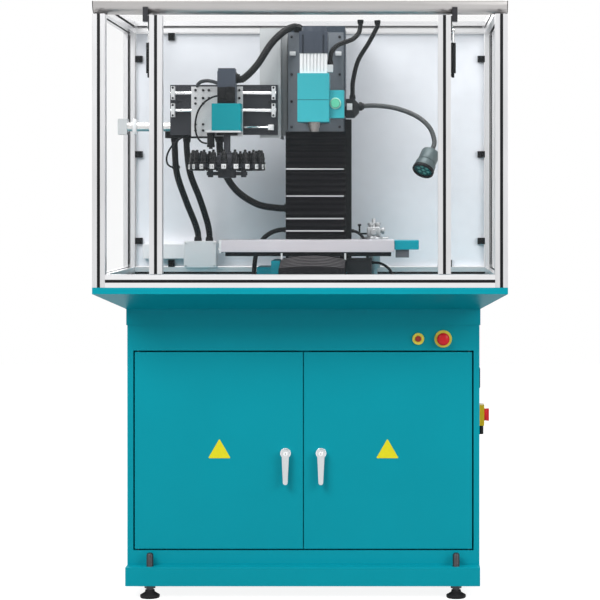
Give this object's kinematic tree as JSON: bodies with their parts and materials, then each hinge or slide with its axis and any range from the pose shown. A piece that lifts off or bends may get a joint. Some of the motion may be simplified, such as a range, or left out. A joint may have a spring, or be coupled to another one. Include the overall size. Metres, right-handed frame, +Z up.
{
  "type": "cnc milling machine",
  "caption": "Bench mill with a tool changer in a clear framed enclosure, on a chip tray and a two-door steel cabinet.",
  "frame": {"origin": "on the floor, below the middle of the machine's box", "axes": "+Z up, -Y towards the operator, +X to the operator's right"},
  "size_m": [1.29, 0.73, 1.89],
  "materials": {
    "teal_paint": "teal paint",
    "pale_teal_paint": "pale teal paint",
    "black_plastic": "black plastic",
    "black_rubber": "black rubber",
    "graphite_paint": "graphite paint",
    "grey_paint": "grey paint",
    "pale_grey_paint": "pale grey paint",
    "pale_panel": "pale panel",
    "anodised": "anodised",
    "beam_anodised": "beam anodised",
    "steel": "steel",
    "chrome": "chrome",
    "cast_base": "cast base",
    "cast_grey": "cast grey",
    "table_iron": "table iron",
    "clear_sheet": "clear sheet",
    "yellow_plastic": "yellow plastic",
    "red_plastic": "red plastic",
    "dark_red_plastic": "dark red plastic",
    "green_plastic": "green plastic",
    "electrics": "electrics"
  },
  "bodies": {
    "root": {"cabinet_body": "teal_paint", "plinth": "teal_paint", "levelling_feet": "black_rubber", "door_pivots": "steel", "tray": "teal_paint", "mounting_plate": "pale_grey_paint", "control_gear": "electrics", "button_collars": "yellow_plastic", "isolator_box": "yellow_plastic", "side_vent": "black_plastic", "frame_posts": "anodised", "frame_rails": "anodised", "top_beam": "beam_anodised", "profile_trim": "black_rubber", "clear_panels": "clear_sheet", "back_panel": "pale_panel", "panel_holders": "black_rubber", "door_brackets": "graphite_paint", "mill_base": "cast_base", "y_bellows": "black_rubber", "column": "cast_grey", "z_bellows": "black_rubber", "atc_frame": "pale_grey_paint", "atc_rods": "chrome", "lamp": "graphite_paint", "tray_conduit_a": "black_rubber", "tray_conduit_b": "black_rubber", "carousel_conduit": "black_rubber", "roof_conduit": "black_rubber", "head_hose": "black_rubber", "motor_conduit": "black_rubber", "air_unit": "chrome", "cable_box": "pale_grey_paint"},
    "left_door": {"left_door": "teal_paint", "left_latch": "chrome"},
    "right_door": {"right_door": "teal_paint", "right_latch": "chrome"},
    "left_handle": {"left_handle": "pale_grey_paint"},
    "right_handle": {"right_handle": "pale_grey_paint"},
    "estop_knob": {"estop_knob": "red_plastic"},
    "reset_button": {"reset_button": "dark_red_plastic"},
    "isolator_knob": {"isolator_knob": "red_plastic"},
    "front_door": {"door_stiles": "anodised", "door_sheet": "clear_sheet", "door_fittings": "graphite_paint"},
    "left_strut_rod": {"left_strut_rod": "steel"},
    "right_strut_rod": {"right_strut_rod": "steel"},
    "left_strut_tube": {"left_strut_tube": "graphite_paint"},
    "right_strut_tube": {"right_strut_tube": "graphite_paint"},
    "saddle": {"saddle": "cast_grey"},
    "table": {"table": "table_iron", "table_covers": "teal_paint"},
    "head": {"head_slide": "cast_grey", "head_cover": "pale_teal_paint", "spindle_motor": "electrics"},
    "spindle": {"spindle": "steel"},
    "start_button": {"start_button": "green_plastic"},
    "carriage": {"atc_carriage": "pale_grey_paint"},
    "carousel": {"carousel": "black_plastic", "tool_holders": "black_plastic"}
  },
  "joints": [
    {"name": "left_door_hinge", "type": "hinge", "parent": "root", "child": "left_door", "pos_m": [-0.532, -0.135, 0.46], "axis": [0, 0, -1], "range_deg": [0, 110]},
    {"name": "right_door_hinge", "type": "hinge", "parent": "root", "child": "right_door", "pos_m": [0.532, -0.135, 0.46], "axis": [0, 0, 1], "range_deg": [0, 110]},
    {"name": "left_handle_turn", "type": "hinge", "parent": "left_door", "child": "left_handle", "pos_m": [-0.057, -0.145, 0.459], "axis": [0, 1, 0], "range_deg": [0, 90]},
    {"name": "right_handle_turn", "type": "hinge", "parent": "right_door", "child": "right_handle", "pos_m": [0.057, -0.145, 0.459], "axis": [0, -1, 0], "range_deg": [0, 90]},
    {"name": "estop_press", "type": "slide", "parent": "root", "child": "estop_knob", "axis": [0, 1, 0], "range_m": [0, 0.004], "stiffness_N_per_m": 900},
    {"name": "reset_press", "type": "slide", "parent": "root", "child": "reset_button", "axis": [0, 1, 0], "range_m": [0, 0.0035], "stiffness_N_per_m": 900},
    {"name": "isolator_turn", "type": "hinge", "parent": "root", "child": "isolator_knob", "pos_m": [0.59, 0.005, 0.566], "axis": [1, 0, 0], "range_deg": [0, 90]},
    {"name": "front_door_lift", "type": "hinge", "parent": "root", "child": "front_door", "pos_m": [0, -0.353, 1.838], "axis": [-1, 0, 0], "range_deg": [0, 85]},
    {"name": "left_strut_swing", "type": "hinge", "parent": "root", "child": "left_strut_rod", "pos_m": [-0.476, -0.305, 1.8], "axis": [-1, 0, 0], "range_deg": [0, 85]},
    {"name": "right_strut_swing", "type": "hinge", "parent": "root", "child": "right_strut_rod", "pos_m": [0.476, -0.305, 1.8], "axis": [-1, 0, 0], "range_deg": [0, 85]},
    {"name": "left_strut_stroke", "type": "slide", "parent": "left_strut_rod", "child": "left_strut_tube", "axis": [0, 0, -1], "range_m": [0, 0.0832]},
    {"name": "right_strut_stroke", "type": "slide", "parent": "right_strut_rod", "child": "right_strut_tube", "axis": [0, 0, -1], "range_m": [0, 0.0832]},
    {"name": "y_travel", "type": "slide", "parent": "root", "child": "saddle", "axis": [0, 1, 0], "range_m": [-0.1, 0], "deforming": ["y_bellows"]},
    {"name": "x_travel", "type": "slide", "parent": "saddle", "child": "table", "axis": [1, 0, 0], "range_m": [-0.12, 0.15]},
    {"name": "z_travel", "type": "slide", "parent": "root", "child": "head", "axis": [0, 0, 1], "range_m": [-0.27, 0], "deforming": ["z_bellows", "head_hose"]},
    {"name": "spindle_spin", "type": "hinge", "parent": "head", "child": "spindle", "pos_m": [0.03, -0.056, 1.52], "axis": [0, 0, 1], "continuous": true},
    {"name": "start_press", "type": "slide", "parent": "head", "child": "start_button", "axis": [0, 1, 0], "range_m": [0, 0.0035], "stiffness_N_per_m": 900},
    {"name": "carriage_travel", "type": "slide", "parent": "root", "child": "carriage", "axis": [1, 0, 0], "range_m": [0, 0.168], "deforming": ["motor_conduit"]},
    {"name": "carousel_turn", "type": "hinge", "parent": "carriage", "child": "carousel", "pos_m": [-0.253, -0.056, 1.4], "axis": [0, 0, 1], "continuous": true}
  ],
  "couplings": [
    {"joint": "left_strut_swing", "follows": "front_door_lift", "ratio": 0.98118},
    {"joint": "right_strut_swing", "follows": "front_door_lift", "ratio": 0.98118},
    {"joint": "left_strut_stroke", "follows": "front_door_lift", "m_per_rad": 0.055678},
    {"joint": "right_strut_stroke", "follows": "front_door_lift", "m_per_rad": 0.055678}
  ]
}
